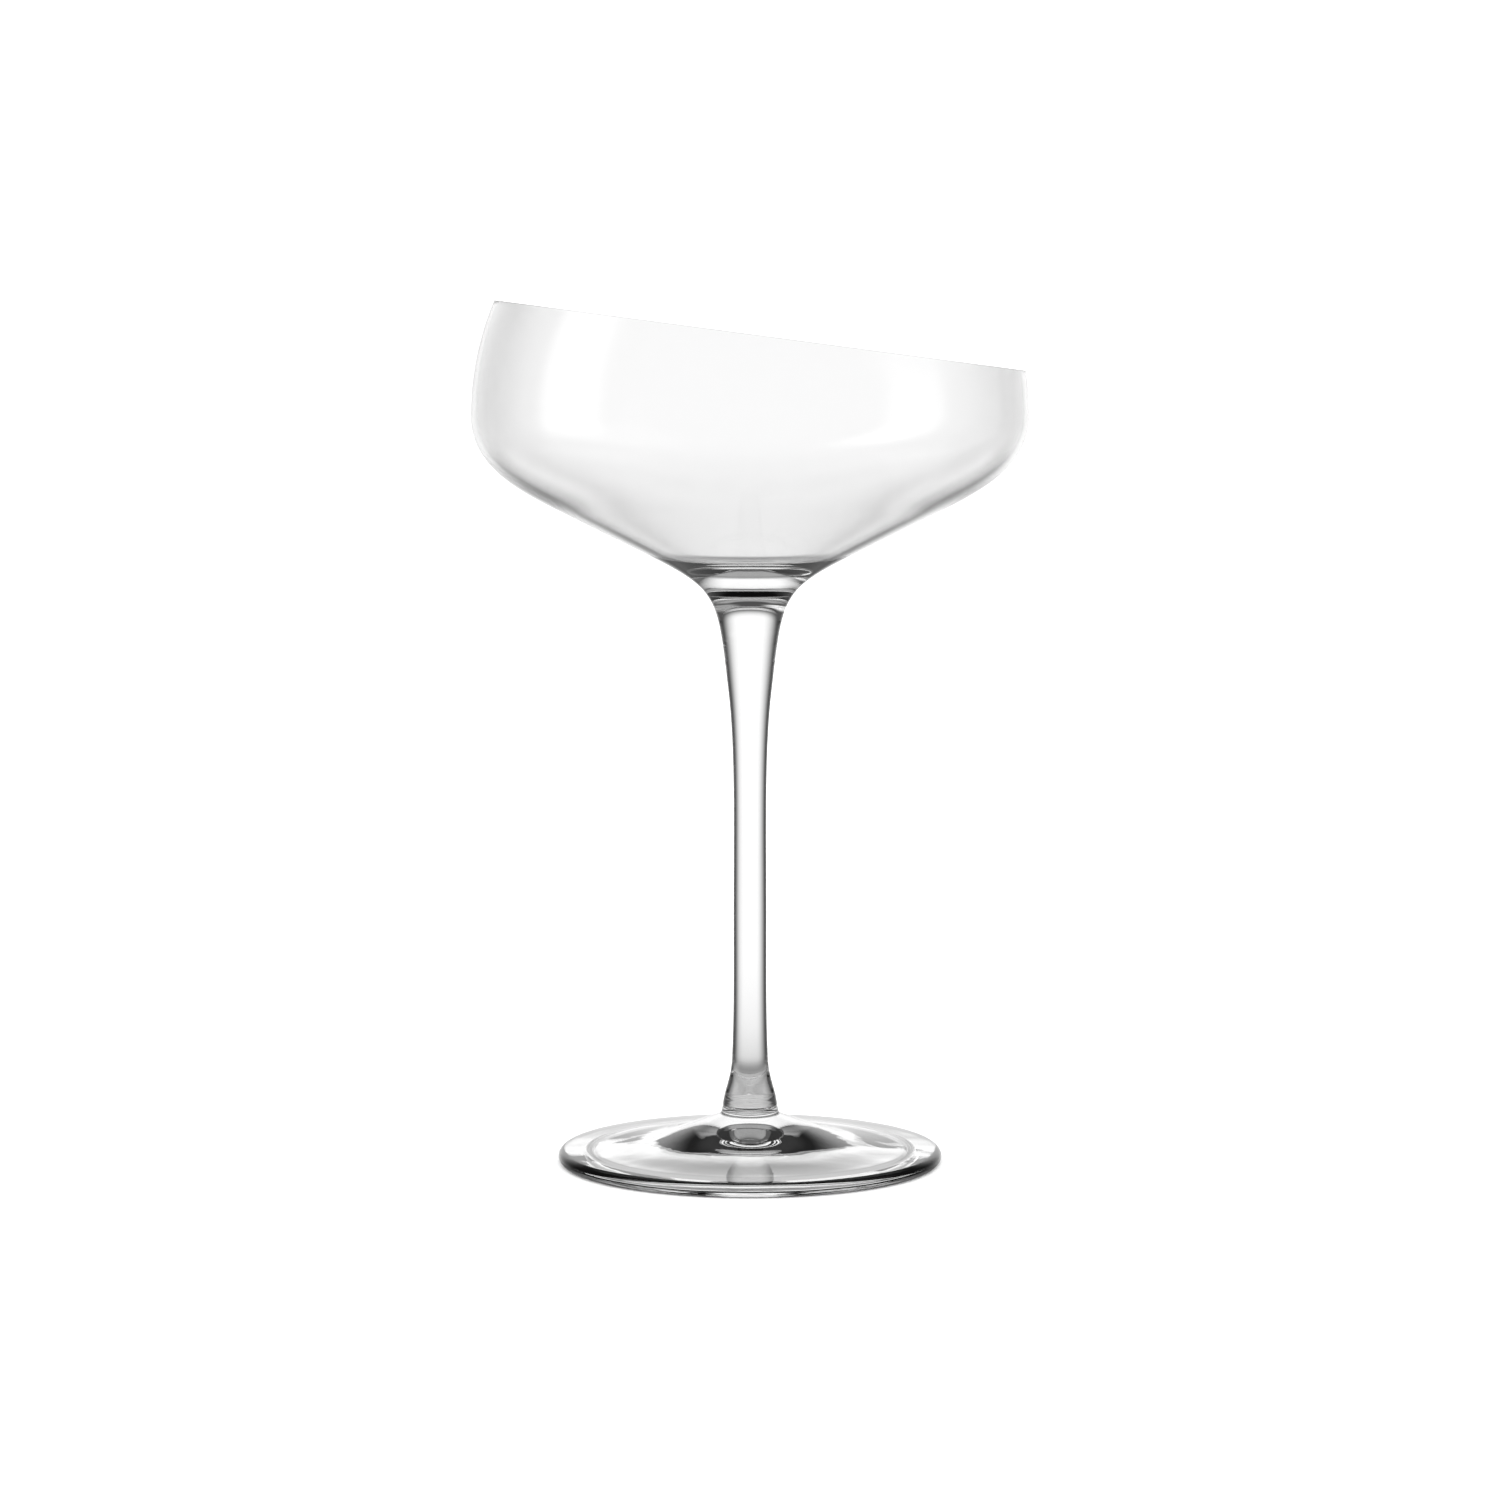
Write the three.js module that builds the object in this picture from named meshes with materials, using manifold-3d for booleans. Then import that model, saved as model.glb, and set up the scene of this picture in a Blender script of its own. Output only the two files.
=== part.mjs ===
// A stemmed coupe glass with a slanted rim, in millimetres, +Z up.
// The origin is the centre of the foot's underside, and the rim falls from -X towards +X.
// Real stemware is three gathers of glass joined while hot: the blown bowl, the drawn stem and the foot.
// Each is a solid of revolution about Z, and they meet face to face on two flat joint discs.

import * as THREE from "three";
import { mergeVertices } from "three/addons/utils/BufferGeometryUtils.js";
import Module from "manifold-3d";

// Bowl, outside. Heights are measured from the surface that the foot rests on.
const BELLY_RADIUS = 55; // widest point of the bowl
const BELLY_HEIGHT = 148.8;
const WALL_ARC = 58; // radius of the upper wall's curve, seen from the side
const CONE_ANGLE = THREE.MathUtils.degToRad(26.5); // the lower wall's rise above level
const CONE_TOP = [37.7, 130.3]; // radius and height where the belly's turn meets the straight cone
const CONE_FOOT_RADIUS = 23.8; // where the cone starts to curve down into the neck

// Bowl, inside.
const BELLY_WALL = 1.2; // thickness at the widest point
const CONE_WALL = 1.4;
const INNER_WALL_ARC = 60; // flatter than the outside, so the wall thins towards the rim
const FLOOR_HEIGHT = 120; // lowest point of the cavity
const FLOOR_EDGE_RADIUS = 18; // where the cavity's floor meets the inner cone

// The rim is cut by one plane.
const RIM_HEIGHT = 165.06; // height of that plane on the axis
const RIM_TILT = THREE.MathUtils.degToRad(7.53);
const BLANK_HEIGHT = 178; // the blown wall before its top is cut away

// Neck and stem.
const NECK_JOINT_HEIGHT = 113.5; // bowl to stem
const STEM_TOP = [4.29, 94.3]; // radius and height where the neck's sweep ends
const STEM_TOP_LEAN = THREE.MathUtils.degToRad(6.6); // its slope there, from the vertical
const WAIST = [3.31, 50];
const STEM_FOOT = [3.64, 20.8]; // start of the flare at the stem's foot
const STEM_FOOT_LEAN = THREE.MathUtils.degToRad(3);
const FLARE_END = [5.46, 11.7];
const FLARE_LEAN = THREE.MathUtils.degToRad(8);
const FOOT_JOINT = [6.2, 9.6]; // radius and height of the crease where the stem meets the foot
// The worked ring above that crease, from the foot up.
const COLLAR = [[5.84, 9.9], [5.66, 10.5], [5.6, 11], [5.38, 11.3]];

// Foot.
const FOOT_RADIUS = 38.36;
const EDGE_RADIUS = 1.41; // the rim of the foot is a half round
const HUMP_ANGLE = THREE.MathUtils.degToRad(21); // fall of the foot's top near the stem
const HUMP_RADIUS = 14;
const EDGE_SLOPE = THREE.MathUtils.degToRad(3); // fall of the foot's top near its rim
const REST_INNER_RADIUS = 32.2; // inside this the underside is hollowed
const HOLLOW_RADIUS = 30.6;
const HOLLOW_STEP = 0.7;
const HOLLOW_DEPTH = 4.5; // depth of the hollow on the axis
const HOLLOW_SLOPE = THREE.MathUtils.degToRad(4.6); // fall of the hollow at its edge
const STEP_SLOPE = THREE.MathUtils.degToRad(69); // fall of the step on to the resting ring

// How far each curve holds its direction where it leaves and where it arrives.
const NECK_PULLS = [20.7, 19.8];
const TURN_PULLS = [9.05, 9.5];
const INNER_TURN_PULLS = [8.4, 9];
const FLOOR_PULLS = [8, 5];
const FLARE_PULLS = [3.6, 4.2];
const LOWER_STEM_PULLS = [8, 12];
const UPPER_STEM_PULLS = [16, 12];
const FOOT_TOP_PULLS = [9, 8];
const HOLLOW_PULLS = [14, 8];
const STEP_PULLS = [0.7, 0.3];

const SEGMENTS = 48; // facets round the axis
const EDGE_STEPS = 6; // facets over the foot's half-round rim
const GLASS_COLOR = 0xf2f5f5;
const UP = Math.PI / 2;

const wasm = await Module();
wasm.setup();

const point = (radius, height) => new THREE.Vector2(radius, height);

// A direction in the profile plane, rising at an angle above level.
const heading = (angle) => point(Math.cos(angle), Math.sin(angle));

const along = (from, direction, distance) => from.clone().addScaledVector(direction, distance);

// A smooth curve that leaves start and reaches end along two given angles above level.
function sweep(start, startAngle, end, endAngle, pulls, steps) {
  const near = along(start, heading(startAngle), pulls[0]);
  const far = along(end, heading(endAngle), -pulls[1]);
  return new THREE.CubicBezierCurve(start, near, far, end).getPoints(steps);
}

// An upright wall that leans in above its widest point as an arc.
function wallArc(widestRadius, arcRadius, topHeight, steps) {
  const sweepAngle = Math.asin((topHeight - BELLY_HEIGHT) / arcRadius);
  const points = [];
  for (let i = 0; i <= steps; i += 1) {
    const angle = (sweepAngle * i) / steps;
    const radius = widestRadius - arcRadius * (1 - Math.cos(angle));
    points.push(point(radius, BELLY_HEIGHT + arcRadius * Math.sin(angle)));
  }
  return points;
}

// Height of the straight cone's outer face at a radius.
const coneHeight = (radius) => CONE_TOP[1] + (radius - CONE_TOP[0]) * Math.tan(CONE_ANGLE);

// The neck's outline runs in one sweep from the stem's top up into the bowl's cone.
function neckOutline(steps) {
  const stemTop = point(...STEM_TOP);
  const coneFoot = point(CONE_FOOT_RADIUS, coneHeight(CONE_FOOT_RADIUS));
  return sweep(stemTop, UP - STEM_TOP_LEAN, coneFoot, CONE_ANGLE, NECK_PULLS, steps);
}

// Splits the neck's outline at the joint, adding a point exactly on it.
function splitNeck(steps) {
  const outline = neckOutline(steps);
  const above = outline.filter((p) => p.y > NECK_JOINT_HEIGHT);
  const below = outline.filter((p) => p.y < NECK_JOINT_HEIGHT);
  const low = below[below.length - 1];
  const high = above[0];
  const share = (NECK_JOINT_HEIGHT - low.y) / (high.y - low.y);
  const joint = point(low.x + (high.x - low.x) * share, NECK_JOINT_HEIGHT);
  return { below, joint, above };
}

// Turns an outline about Z. It starts and ends on the axis, and outside walls run upwards.
function turned(outline) {
  return new THREE.LatheGeometry(outline, SEGMENTS).rotateX(UP);
}

function solidOf(geometry) {
  geometry.deleteAttribute("normal");
  geometry.deleteAttribute("uv");
  const merged = mergeVertices(geometry, 1e-4);
  return new wasm.Manifold(
    new wasm.Mesh({
      numProp: 3,
      vertProperties: merged.attributes.position.array,
      triVerts: new Uint32Array(merged.index.array),
    }),
  );
}

function geometryOf(solid) {
  const mesh = solid.getMesh();
  const geometry = new THREE.BufferGeometry();
  geometry.setAttribute("position", new THREE.BufferAttribute(mesh.vertProperties, 3));
  geometry.setIndex(new THREE.BufferAttribute(mesh.triVerts, 1));
  geometry.computeVertexNormals();
  return geometry;
}

// Everything above the slanted rim plane.
function aboveRim() {
  const size = 4 * BELLY_RADIUS;
  const block = new THREE.BoxGeometry(size, size, size);
  block.translate(0, 0, size / 2);
  block.rotateY(RIM_TILT);
  block.translate(0, 0, RIM_HEIGHT);
  return block;
}

function bowlOutside(neck) {
  const belly = point(BELLY_RADIUS, BELLY_HEIGHT);
  const turn = sweep(point(...CONE_TOP), CONE_ANGLE, belly, UP, TURN_PULLS, 10);
  const wall = wallArc(BELLY_RADIUS, WALL_ARC, BLANK_HEIGHT, 7);
  return [point(0, NECK_JOINT_HEIGHT), neck.joint, ...neck.above, ...turn, ...wall.slice(1)];
}

// From the middle of the cavity's floor up the inner wall.
function bowlInside() {
  const inward = heading(CONE_ANGLE + UP);
  const belly = point(BELLY_RADIUS - BELLY_WALL, BELLY_HEIGHT);
  const coneTop = along(point(...CONE_TOP), inward, CONE_WALL);
  const coneFace = point(FLOOR_EDGE_RADIUS, coneHeight(FLOOR_EDGE_RADIUS));
  const floorEdge = along(coneFace, inward, CONE_WALL);
  const floor = sweep(point(0, FLOOR_HEIGHT), 0, floorEdge, CONE_ANGLE, FLOOR_PULLS, 9);
  const turn = sweep(coneTop, CONE_ANGLE, belly, UP, INNER_TURN_PULLS, 8);
  const wall = wallArc(belly.x, INNER_WALL_ARC, BLANK_HEIGHT, 6);
  return [...floor, ...turn, ...wall.slice(1)];
}

function bowlGeometry(neck) {
  const blank = solidOf(turned([...bowlOutside(neck), ...bowlInside().reverse()]));
  return geometryOf(blank.subtract(solidOf(aboveRim())));
}

function stemGeometry(neck) {
  const waist = point(...WAIST);
  const stemFoot = point(...STEM_FOOT);
  const collar = COLLAR.map(([radius, height]) => point(radius, height));
  const flare = sweep(point(...FLARE_END), UP + FLARE_LEAN, stemFoot, UP + STEM_FOOT_LEAN, FLARE_PULLS, 7);
  const lower = sweep(stemFoot, UP + STEM_FOOT_LEAN, waist, UP, LOWER_STEM_PULLS, 6);
  const upper = sweep(waist, UP, point(...STEM_TOP), UP - STEM_TOP_LEAN, UPPER_STEM_PULLS, 7);
  return turned([
    point(0, FOOT_JOINT[1]),
    point(...FOOT_JOINT),
    ...collar,
    ...flare,
    ...lower.slice(1),
    ...upper.slice(1),
    ...neck.below.slice(1),
    neck.joint,
    point(0, NECK_JOINT_HEIGHT),
  ]);
}

// The half-round rim of the foot, from the underside to the top, without its two ends.
function footEdge(centre) {
  const points = [];
  for (let i = 1; i < EDGE_STEPS; i += 1) {
    points.push(along(centre, heading((Math.PI * i) / EDGE_STEPS - UP), EDGE_RADIUS));
  }
  return points;
}

// The hollowed underside, from the axis out to the rim's underside.
function footUnderside(edgeCentre) {
  const hollowEdge = point(HOLLOW_RADIUS, HOLLOW_STEP);
  const restEdge = point(REST_INNER_RADIUS, 0);
  const hollow = sweep(point(0, HOLLOW_DEPTH), 0, hollowEdge, -HOLLOW_SLOPE, HOLLOW_PULLS, 5);
  const step = sweep(hollowEdge, -HOLLOW_SLOPE, restEdge, -STEP_SLOPE, STEP_PULLS, 4);
  return [...hollow, ...step.slice(1), point(edgeCentre.x, 0)];
}

function footGeometry() {
  const edgeCentre = point(FOOT_RADIUS - EDGE_RADIUS, EDGE_RADIUS);
  const edgeTop = along(edgeCentre, heading(UP), EDGE_RADIUS);
  const crease = point(...FOOT_JOINT);
  const hump = along(crease, heading(-HUMP_ANGLE), (HUMP_RADIUS - crease.x) / Math.cos(HUMP_ANGLE));
  const top = sweep(edgeTop, Math.PI - EDGE_SLOPE, hump, Math.PI - HUMP_ANGLE, FOOT_TOP_PULLS, 7);
  return turned([
    ...footUnderside(edgeCentre),
    ...footEdge(edgeCentre),
    ...top,
    crease,
    point(0, crease.y),
  ]);
}

function glass() {
  return new THREE.MeshStandardMaterial({
    color: GLASS_COLOR,
    roughness: 0.02,
    metalness: 0,
    transparent: true,
    opacity: 0.35,
  });
}

function piece(name, geometry) {
  const mesh = new THREE.Mesh(geometry, glass());
  mesh.name = name;
  return mesh;
}

const neck = splitNeck(14);
const coupe = new THREE.Group();
coupe.add(piece("bowl", bowlGeometry(neck)));
coupe.add(piece("stem", stemGeometry(neck)));
coupe.add(piece("foot", footGeometry()));

export default coupe;
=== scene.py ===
"""Looks of a stemmed coupe glass with a slanted rim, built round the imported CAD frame. Lengths are metres."""
import math

import bpy
from mathutils import Matrix, Vector


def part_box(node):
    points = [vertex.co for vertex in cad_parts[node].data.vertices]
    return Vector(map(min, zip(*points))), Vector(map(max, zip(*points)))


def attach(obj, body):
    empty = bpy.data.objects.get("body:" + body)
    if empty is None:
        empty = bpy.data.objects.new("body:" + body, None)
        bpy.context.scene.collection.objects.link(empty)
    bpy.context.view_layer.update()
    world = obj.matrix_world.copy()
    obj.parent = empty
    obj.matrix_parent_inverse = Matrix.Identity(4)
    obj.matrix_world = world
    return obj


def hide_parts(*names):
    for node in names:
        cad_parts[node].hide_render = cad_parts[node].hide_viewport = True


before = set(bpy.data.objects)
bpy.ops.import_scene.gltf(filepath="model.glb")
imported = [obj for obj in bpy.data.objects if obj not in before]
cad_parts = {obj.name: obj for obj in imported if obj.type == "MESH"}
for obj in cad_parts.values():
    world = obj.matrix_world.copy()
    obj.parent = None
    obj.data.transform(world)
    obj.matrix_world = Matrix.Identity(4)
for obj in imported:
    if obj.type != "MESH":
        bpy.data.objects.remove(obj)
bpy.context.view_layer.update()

scene = bpy.context.scene

# The frame gives the size and the heights of the joints.
_, BOWL_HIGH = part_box("bowl")
STEM_LOW, STEM_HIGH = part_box("stem")
_, FOOT_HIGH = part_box("foot")
DESIGN_BELLY_RADIUS = 55  # millimetres
BELLY_RADIUS = BOWL_HIGH.x
MM = BELLY_RADIUS / DESIGN_BELLY_RADIUS  # one millimetre of the design, at the frame's scale
FOOT_RADIUS = FOOT_HIGH.x
NECK_JOINT_HEIGHT = STEM_HIGH.z
FOOT_JOINT_HEIGHT = STEM_LOW.z

# Bowl.
BELLY_HEIGHT = 148.8 * MM
WALL_ARC = 58 * MM
INNER_WALL_ARC = 60 * MM
CONE_ANGLE = math.radians(26.5)
CONE_TOP = Vector((37.7, 130.3)) * MM
CONE_FOOT_RADIUS = 23.8 * MM
BELLY_WALL = 1.2 * MM
CONE_WALL = 1.4 * MM
FLOOR_HEIGHT = 120 * MM
FLOOR_EDGE_RADIUS = 18 * MM
RIM_HEIGHT = 165.06 * MM  # of the slanted rim plane, on the axis
RIM_TILT = math.radians(7.53)
RIM_ROUND = 0.15 * MM  # how far the fire polish reaches from each corner of the rim

# Stem.
STEM_TOP = Vector((4.29, 94.3)) * MM
STEM_TOP_LEAN = math.radians(6.6)
WAIST = Vector((3.31, 50)) * MM
STEM_FOOT = Vector((3.64, 20.8)) * MM
FLARE_END = Vector((5.46, 11.7)) * MM
STEM_FOOT_LEAN = math.radians(3)
FLARE_LEAN = math.radians(8)
COLLAR = [Vector(p) * MM for p in ((5.84, 9.9), (5.66, 10.5), (5.6, 11), (5.38, 11.3))]
CREASE_RADIUS = 6.2 * MM

# Foot.
EDGE_RADIUS = 1.41 * MM
HUMP_ANGLE = math.radians(21)
HUMP_RADIUS = 14 * MM
EDGE_SLOPE = math.radians(3)
REST_INNER_RADIUS = 32.2 * MM
HOLLOW_RADIUS = 30.6 * MM
HOLLOW_STEP = 0.7 * MM
HOLLOW_DEPTH = 4.5 * MM
HOLLOW_SLOPE = math.radians(4.6)
STEP_SLOPE = math.radians(69)

# How far each curve holds its direction where it leaves and where it arrives, in millimetres of the design.
NECK_PULLS = (20.7, 19.8)
TURN_PULLS = (9.05, 9.5)
INNER_TURN_PULLS = (8.4, 9)
FLOOR_PULLS = (8, 5)
FLARE_PULLS = (3.6, 4.2)
LOWER_STEM_PULLS = (8, 12)
UPPER_STEM_PULLS = (16, 12)
FOOT_TOP_PULLS = (9, 8)
HOLLOW_PULLS = (14, 8)
STEP_PULLS = (0.7, 0.3)

# Glass.
GLASS_TINT = (0.988, 0.988, 0.988, 1)
GLASS_IOR = 1.5
# Faint ripples of hot working: stretch along X, Y and Z, waves a metre, and height in millimetres.
BLOWN_RIPPLES = [((1, 1, 0.5), 40, 0.03)]
DRAWN_RIPPLES = [((1, 1, 0.05), 500, 0.003), ((1, 1, 1), 40, 0.03)]
SPUN_RIPPLES = [((1, 1, 1), 60, 0.25), ((1, 1, 1), 250, 0.015)]

# Camera.
LENS = 103.2
SENSOR_WIDTH = 36
CAMERA_DISTANCE = 850.5 * MM
CAMERA_DIP = math.radians(5.527)

# Light panels round the glass: centre and half size as (azimuth, elevation) in degrees seen from the glass,
# azimuth 0 on the far side and left positive; then the width of the soft edge, and the brightness.
PANELS = [
    ((0, 6), (34, 20), (40, 16), 1.06),
    ((0, -42), (60, 22), (30, 12), 0.32),
    ((0, 50), (60, 12), (20, 12), 0.3),
    ((101, 25), (15, 40), (12, 30), 1.1),
    ((255, 45), (25, 25), (20, 20), 0.3),
]
AMBIENT = 0.08
TENT_RADIUS = 3.0
TENT_COLUMNS = 144
TENT_ROWS = 72

# Floor and sky, bright enough to come out white.
FLOOR_REACH = 6
FLOOR_COLOR = (0.95, 0.95, 0.95, 1)
SKY_STRENGTH = 1.8

SEGMENTS = 192  # facets round the axis
EDGE_STEPS = 20  # facets over the foot's half-round rim
RIM_ROUNDS = 6  # rounds in which a wall's arc settles on the slanted rim plane
TOUCHING = 1e-7  # metres
WELD_DIGITS = 8  # decimals of a metre to which two vertices count as one
UP = math.pi / 2


def heading(angle):
    return Vector((math.cos(angle), math.sin(angle)))


def sweep(start, start_angle, end, end_angle, pulls, steps):
    """A cubic Bezier that leaves start and reaches end along two given angles above level."""
    near = start + heading(start_angle) * pulls[0] * MM
    far = end - heading(end_angle) * pulls[1] * MM
    points = []
    for i in range(steps + 1):
        t = i / steps
        s = 1 - t
        points.append(start * s**3 + near * 3 * s * s * t + far * 3 * s * t * t + end * t**3)
    return points


def between(start, end, steps):
    """The points that divide a straight stretch, without its two ends."""
    return [start.lerp(end, i / steps) for i in range(1, steps)]


def cone_height(radius):
    return CONE_TOP.y + (radius - CONE_TOP.x) * math.tan(CONE_ANGLE)


def split_neck(steps):
    """The neck's outline in two parts, below and above the joint, and the point on the joint itself."""
    cone_foot = Vector((CONE_FOOT_RADIUS, cone_height(CONE_FOOT_RADIUS)))
    outline = sweep(STEM_TOP, UP - STEM_TOP_LEAN, cone_foot, CONE_ANGLE, NECK_PULLS, steps)
    above = [p for p in outline if p.y > NECK_JOINT_HEIGHT + TOUCHING]
    below = [p for p in outline if p.y < NECK_JOINT_HEIGHT - TOUCHING]
    share = (NECK_JOINT_HEIGHT - below[-1].y) / (above[0].y - below[-1].y)
    joint = below[-1].lerp(above[0], share)
    return below, joint, above


def rim_plane(radius, azimuth):
    return RIM_HEIGHT - math.tan(RIM_TILT) * radius * math.cos(azimuth)


def wall_to_rim(widest, arc, azimuth, steps):
    """The wall above the belly, an arc that ends on the slanted rim plane at this azimuth."""
    top = (RIM_HEIGHT - BELLY_HEIGHT) / arc
    for _ in range(RIM_ROUNDS):
        radius = widest - arc * (1 - math.cos(top))
        top = math.asin((rim_plane(radius, azimuth) - BELLY_HEIGHT) / arc)
    points = []
    for i in range(steps + 1):
        angle = top * i / steps
        points.append(Vector((widest - arc * (1 - math.cos(angle)), BELLY_HEIGHT + arc * math.sin(angle))))
    return points


def corner(before, tip, after, steps):
    """The edge of the cut rim, softened by fire polishing."""
    start = tip + (before - tip).normalized() * RIM_ROUND
    end = tip + (after - tip).normalized() * RIM_ROUND
    return [start.lerp(tip, i / steps).lerp(tip.lerp(end, i / steps), i / steps) for i in range(steps + 1)]


def bowl_outline(azimuth, neck):
    _, joint, above = neck
    belly = Vector((BELLY_RADIUS, BELLY_HEIGHT))
    outer_cone = between(above[-1], CONE_TOP, steps=8)
    turn = sweep(CONE_TOP, CONE_ANGLE, belly, UP, TURN_PULLS, steps=24)
    wall = wall_to_rim(BELLY_RADIUS, WALL_ARC, azimuth, steps=20)

    inward = heading(CONE_ANGLE + UP)
    inner_belly = Vector((BELLY_RADIUS - BELLY_WALL, BELLY_HEIGHT))
    inner_cone_top = CONE_TOP + inward * CONE_WALL
    floor_edge = Vector((FLOOR_EDGE_RADIUS, cone_height(FLOOR_EDGE_RADIUS))) + inward * CONE_WALL
    floor = sweep(Vector((0, FLOOR_HEIGHT)), 0, floor_edge, CONE_ANGLE, FLOOR_PULLS, steps=28)
    cone = between(floor_edge, inner_cone_top, steps=8)
    inner_turn = sweep(inner_cone_top, CONE_ANGLE, inner_belly, UP, INNER_TURN_PULLS, steps=24)
    inner_wall = wall_to_rim(inner_belly.x, INNER_WALL_ARC, azimuth, steps=20)

    outer_corner = corner(wall[-2], wall[-1], inner_wall[-1], steps=4)
    inner_corner = corner(wall[-1], inner_wall[-1], inner_wall[-2], steps=4)
    outside = [joint] + above + outer_cone + turn + wall[1:-1]
    inside = floor + cone + inner_turn + inner_wall[1:-1]
    joint_disc = [Vector((0, NECK_JOINT_HEIGHT)), joint]
    return [joint_disc, outside + outer_corner + inner_corner + inside[::-1]]


def stem_outline(neck):
    below, joint, _ = neck
    crease = Vector((CREASE_RADIUS, FOOT_JOINT_HEIGHT))
    flare = sweep(FLARE_END, UP + FLARE_LEAN, STEM_FOOT, UP + STEM_FOOT_LEAN, FLARE_PULLS, steps=24)
    lower = sweep(STEM_FOOT, UP + STEM_FOOT_LEAN, WAIST, UP, LOWER_STEM_PULLS, steps=30)
    upper = sweep(WAIST, UP, STEM_TOP, UP - STEM_TOP_LEAN, UPPER_STEM_PULLS, steps=40)
    outside = [crease] + COLLAR + flare + lower[1:] + upper[1:] + below[1:] + [joint]
    foot_disc = [Vector((0, FOOT_JOINT_HEIGHT)), crease]
    neck_disc = [joint, Vector((0, NECK_JOINT_HEIGHT))]
    return [foot_disc, outside, neck_disc]


def foot_outline():
    edge_centre = Vector((FOOT_RADIUS - EDGE_RADIUS, EDGE_RADIUS))
    edge_top = edge_centre + Vector((0, EDGE_RADIUS))
    edge = [edge_centre + heading(math.pi * i / EDGE_STEPS - UP) * EDGE_RADIUS for i in range(EDGE_STEPS)]
    crease = Vector((CREASE_RADIUS, FOOT_JOINT_HEIGHT))
    hump = crease + heading(-HUMP_ANGLE) * ((HUMP_RADIUS - CREASE_RADIUS) / math.cos(HUMP_ANGLE))
    top = sweep(edge_top, math.pi - EDGE_SLOPE, hump, math.pi - HUMP_ANGLE, FOOT_TOP_PULLS, steps=30)
    slope = between(hump, crease, steps=6)
    hollow_edge = Vector((HOLLOW_RADIUS, HOLLOW_STEP))
    hollow = sweep(Vector((0, HOLLOW_DEPTH)), 0, hollow_edge, -HOLLOW_SLOPE, HOLLOW_PULLS, steps=24)
    rest = Vector((REST_INNER_RADIUS, 0))
    step = sweep(hollow_edge, -HOLLOW_SLOPE, rest, -STEP_SLOPE, STEP_PULLS, steps=8)
    ring = between(rest, edge[0], steps=5)
    joint_disc = [crease, Vector((0, FOOT_JOINT_HEIGHT))]
    return [hollow + step[1:] + ring + edge + top + slope + [crease], joint_disc]


def run_normals(points):
    """Outward normals along one smooth run of an outline, from its own tangents."""
    tangents = []
    last = len(points) - 1
    for i in range(last + 1):
        if last == 1:
            tangent = points[1] - points[0]
        elif i == 0:
            tangent = points[1] * 4 - points[0] * 3 - points[2]
        elif i == last:
            tangent = points[last] * 3 - points[last - 1] * 4 + points[last - 2]
        else:
            before = points[i] - points[i - 1]
            after = points[i + 1] - points[i]
            tangent = before.normalized() + after.normalized()
        tangents.append(tangent.normalized())
    return [Vector((t.y, -t.x)) for t in tangents]


def outline_columns(runs_at):
    """The outline at each azimuth, as runs of places in space with their normals."""
    columns = []
    for s in range(SEGMENTS):
        azimuth = 2 * math.pi * s / SEGMENTS
        turn = heading(azimuth)
        column = []
        for run in runs_at(azimuth):
            spots = []
            for p, n in zip(run, run_normals(run)):
                place = (p.x * turn.x, p.x * turn.y, p.y)
                normal = (n.x * turn.x, n.x * turn.y, n.y)
                spots.append((place, normal))
            column.append(spots)
        columns.append(column)
    return columns


def welded(place, index, verts):
    """The number of the vertex at this place, which is added if it is new."""
    key = tuple(round(c, WELD_DIGITS) for c in place)
    if key not in index:
        index[key] = len(verts)
        verts.append(place)
    return index[key]


def turned(name, runs_at, fused, materials):
    """A solid of revolution. runs_at(azimuth) gives its outline, from the axis to the axis, as smooth runs.

    The runs numbered in fused are the flat discs where two gathers of glass are joined."""
    verts = []
    faces = []
    normals = []
    slots = []
    index = {}
    columns = outline_columns(runs_at)
    for s in range(SEGMENTS):
        here = columns[s]
        there = columns[(s + 1) % SEGMENTS]
        for r in range(len(here)):
            for i in range(len(here[r]) - 1):
                face = []
                for place, normal in (here[r][i], there[r][i], there[r][i + 1], here[r][i + 1]):
                    number = welded(place, index, verts)
                    if number not in face:
                        face.append(number)
                        normals.append(normal)
                faces.append(face)
                slots.append(1 if r in fused else 0)
    mesh = bpy.data.meshes.new(name)
    mesh.from_pydata(verts, [], faces)
    for material in materials:
        mesh.materials.append(material)
    mesh.polygons.foreach_set("material_index", slots)
    mesh.polygons.foreach_set("use_smooth", [True] * len(faces))
    mesh.normals_split_custom_set(normals)
    return add_object(name, mesh)


def add_object(name, data):
    obj = bpy.data.objects.new(name, data)
    scene.collection.objects.link(obj)
    return obj


def new_material(name):
    material = bpy.data.materials.new(name)
    material.use_nodes = True
    return material, material.node_tree.nodes, material.node_tree.links


def ripple(nodes, links, stretch, scale, height, below=None):
    """A bump from smooth noise fixed to the piece, over the bump below."""
    place = nodes.new("ShaderNodeTexCoord")
    mapping = nodes.new("ShaderNodeMapping")
    mapping.inputs["Scale"].default_value = stretch
    noise = nodes.new("ShaderNodeTexNoise")
    noise.inputs["Scale"].default_value = scale / MM / 1000
    noise.inputs["Detail"].default_value = 1
    bump = nodes.new("ShaderNodeBump")
    bump.inputs["Distance"].default_value = height * MM
    links.new(place.outputs["Object"], mapping.inputs["Vector"])
    links.new(mapping.outputs["Vector"], noise.inputs["Vector"])
    links.new(noise.outputs["Fac"], bump.inputs["Height"])
    if below:
        links.new(below.outputs["Normal"], bump.inputs["Normal"])
    return bump


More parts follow.
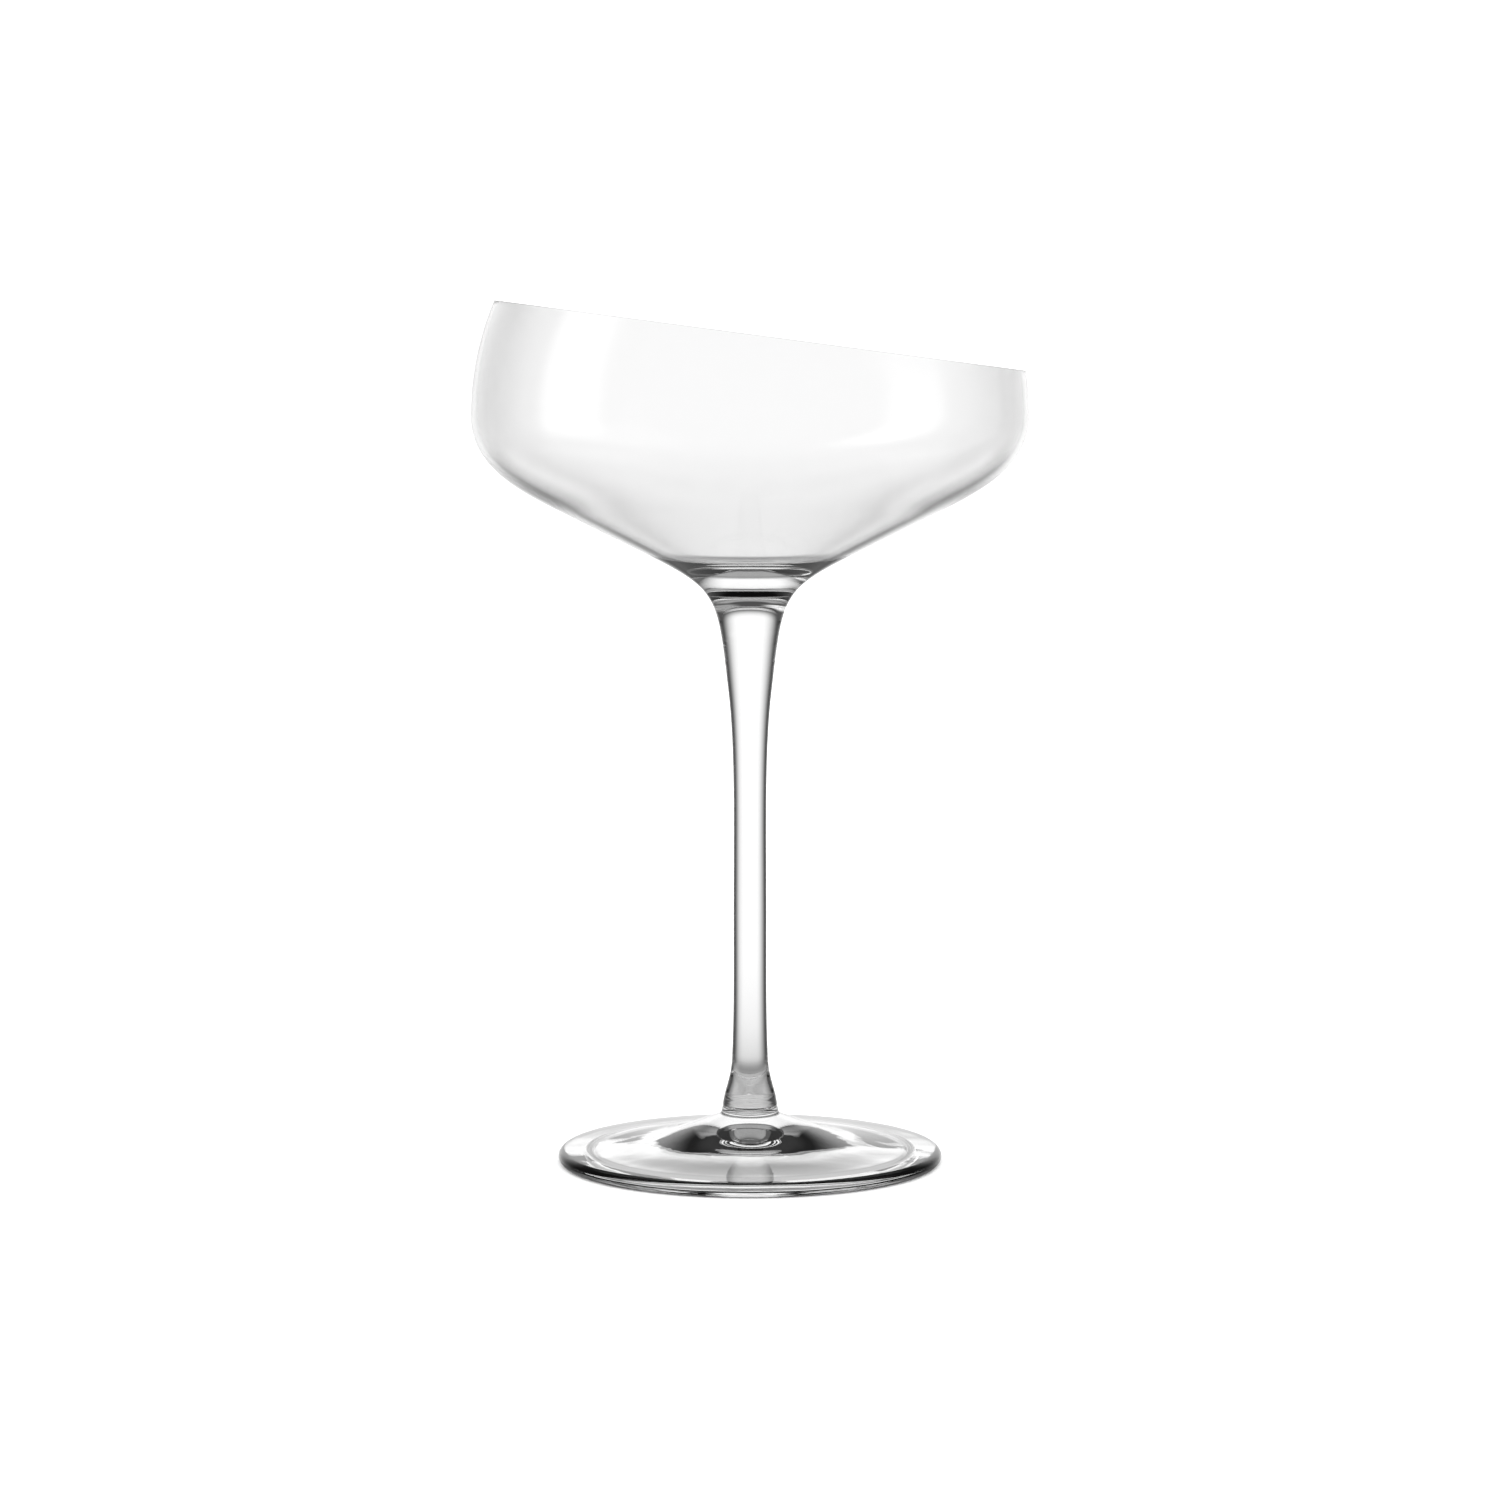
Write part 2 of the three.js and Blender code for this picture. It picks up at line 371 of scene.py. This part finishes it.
def glass_material(name, ripples):
    """Clear glass whose surface carries the faint ripples of hot working."""
    material, nodes, links = new_material(name)
    shader = nodes["Principled BSDF"]
    shader.inputs["Base Color"].default_value = GLASS_TINT
    shader.inputs["Transmission Weight"].default_value = 1
    shader.inputs["Roughness"].default_value = 0
    shader.inputs["IOR"].default_value = GLASS_IOR
    bump = None
    for stretch, scale, height in ripples:
        bump = ripple(nodes, links, stretch, scale, height, bump)
    links.new(bump.outputs["Normal"], shader.inputs["Normal"])
    return material


def fused_material():
    """Glass joined to glass has no surface between, so the joint discs let light straight through."""
    material, nodes, links = new_material("fused_joint")
    nodes.remove(nodes["Principled BSDF"])
    clear = nodes.new("ShaderNodeBsdfTransparent")
    links.new(clear.outputs[0], nodes["Material Output"].inputs["Surface"])
    return material


def make_camera():
    data = bpy.data.cameras.new("camera")
    data.lens = LENS
    data.sensor_width = SENSOR_WIDTH
    obj = add_object("camera", data)
    obj.location = (0, -CAMERA_DISTANCE, RIM_HEIGHT)
    obj.rotation_euler = (UP - CAMERA_DIP, 0, 0)
    return obj


def soft_step(value, edge, width):
    t = min(max((edge + width / 2 - value) / width, 0), 1)
    return t * t * (3 - 2 * t)


def brightness(azimuth, elevation):
    total = AMBIENT
    for centre, half, soft, strength in PANELS:
        across = abs((azimuth - centre[0] + 180) % 360 - 180)
        upward = abs(elevation - centre[1])
        total += strength * soft_step(across, half[0], soft[0]) * soft_step(upward, half[1], soft[1])
    return total


def tent_mesh():
    """A dome round the origin with the panels' brightness painted on its vertices."""
    verts = []
    faces = []
    levels = []
    for j in range(TENT_ROWS + 1):
        elevation = math.pi * j / TENT_ROWS - UP
        height = TENT_RADIUS * math.sin(elevation)
        flat = TENT_RADIUS * math.cos(elevation)
        for i in range(TENT_COLUMNS):
            azimuth = 2 * math.pi * i / TENT_COLUMNS
            verts.append((-flat * math.sin(azimuth), flat * math.cos(azimuth), height))
            levels.append(brightness(math.degrees(azimuth), math.degrees(elevation)))
    for j in range(TENT_ROWS):
        row = j * TENT_COLUMNS
        above = row + TENT_COLUMNS
        for i in range(TENT_COLUMNS):
            right = (i + 1) % TENT_COLUMNS
            faces.append((row + i, row + right, above + right, above + i))
    mesh = bpy.data.meshes.new("light_tent")
    mesh.from_pydata(verts, [], faces)
    paint = mesh.color_attributes.new("brightness", "FLOAT_COLOR", "POINT")
    paint.data.foreach_set("color", [c for v in levels for c in (v, v, v, 1)])
    return mesh


def tent_material():
    material, nodes, links = new_material("tent_light")
    nodes.remove(nodes["Principled BSDF"])
    level = nodes.new("ShaderNodeAttribute")
    level.attribute_name = "brightness"
    light = nodes.new("ShaderNodeEmission")
    links.new(level.outputs["Color"], light.inputs["Color"])
    links.new(light.outputs[0], nodes["Material Output"].inputs["Surface"])
    material.cycles.emission_sampling = "NONE"
    return material


def light_tent():
    """A dome seen only in and through the glass.

    It is parented to the camera, so in other views the light turns with the camera and not with the glass."""
    mesh = tent_mesh()
    mesh.materials.append(tent_material())
    obj = add_object("light_tent", mesh)
    obj.visible_camera = False
    obj.visible_diffuse = False
    obj.visible_shadow = False
    place = Matrix.Translation(camera.location) @ camera.rotation_euler.to_matrix().to_4x4()
    obj.parent = camera
    obj.matrix_parent_inverse = place.inverted()


def make_floor():
    """A plain white floor, which the glass doesn't mirror or show through itself."""
    reach = FLOOR_REACH
    mesh = bpy.data.meshes.new("floor")
    corners = [(-reach, -reach, 0), (reach, -reach, 0), (reach, reach, 0), (-reach, reach, 0)]
    mesh.from_pydata(corners, [], [(0, 1, 2, 3)])
    floor = add_object("floor", mesh)
    material, nodes, _ = new_material("floor")
    shader = nodes["Principled BSDF"]
    shader.inputs["Base Color"].default_value = FLOOR_COLOR
    shader.inputs["Roughness"].default_value = 1
    shader.inputs["Specular IOR Level"].default_value = 0
    mesh.materials.append(material)
    floor.visible_transmission = False
    floor.visible_glossy = False


def make_sky():
    world = bpy.data.worlds.new("studio")
    scene.world = world
    world.use_nodes = True
    sky = world.node_tree.nodes["Background"]
    sky.inputs["Color"].default_value = (1, 1, 1, 1)
    sky.inputs["Strength"].default_value = SKY_STRENGTH


neck = split_neck(steps=48)
stem_runs = stem_outline(neck)
foot_runs = foot_outline()
fused = fused_material()
blown = glass_material("blown_glass", BLOWN_RIPPLES)
drawn = glass_material("drawn_glass", DRAWN_RIPPLES)
spun = glass_material("spun_glass", SPUN_RIPPLES)
bowl = turned("bowl_glass", lambda azimuth: bowl_outline(azimuth, neck), {0}, [blown, fused])
stem = turned("stem_glass", lambda azimuth: stem_runs, {0, 2}, [drawn, fused])
foot = turned("foot_glass", lambda azimuth: foot_runs, {1}, [spun, fused])
for piece, node in ((bowl, "bowl"), (stem, "stem"), (foot, "foot")):
    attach(piece, "root")
    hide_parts(node)

camera = make_camera()
scene.camera = camera
light_tent()
make_floor()
make_sky()
scene.view_settings.view_transform = "Standard"
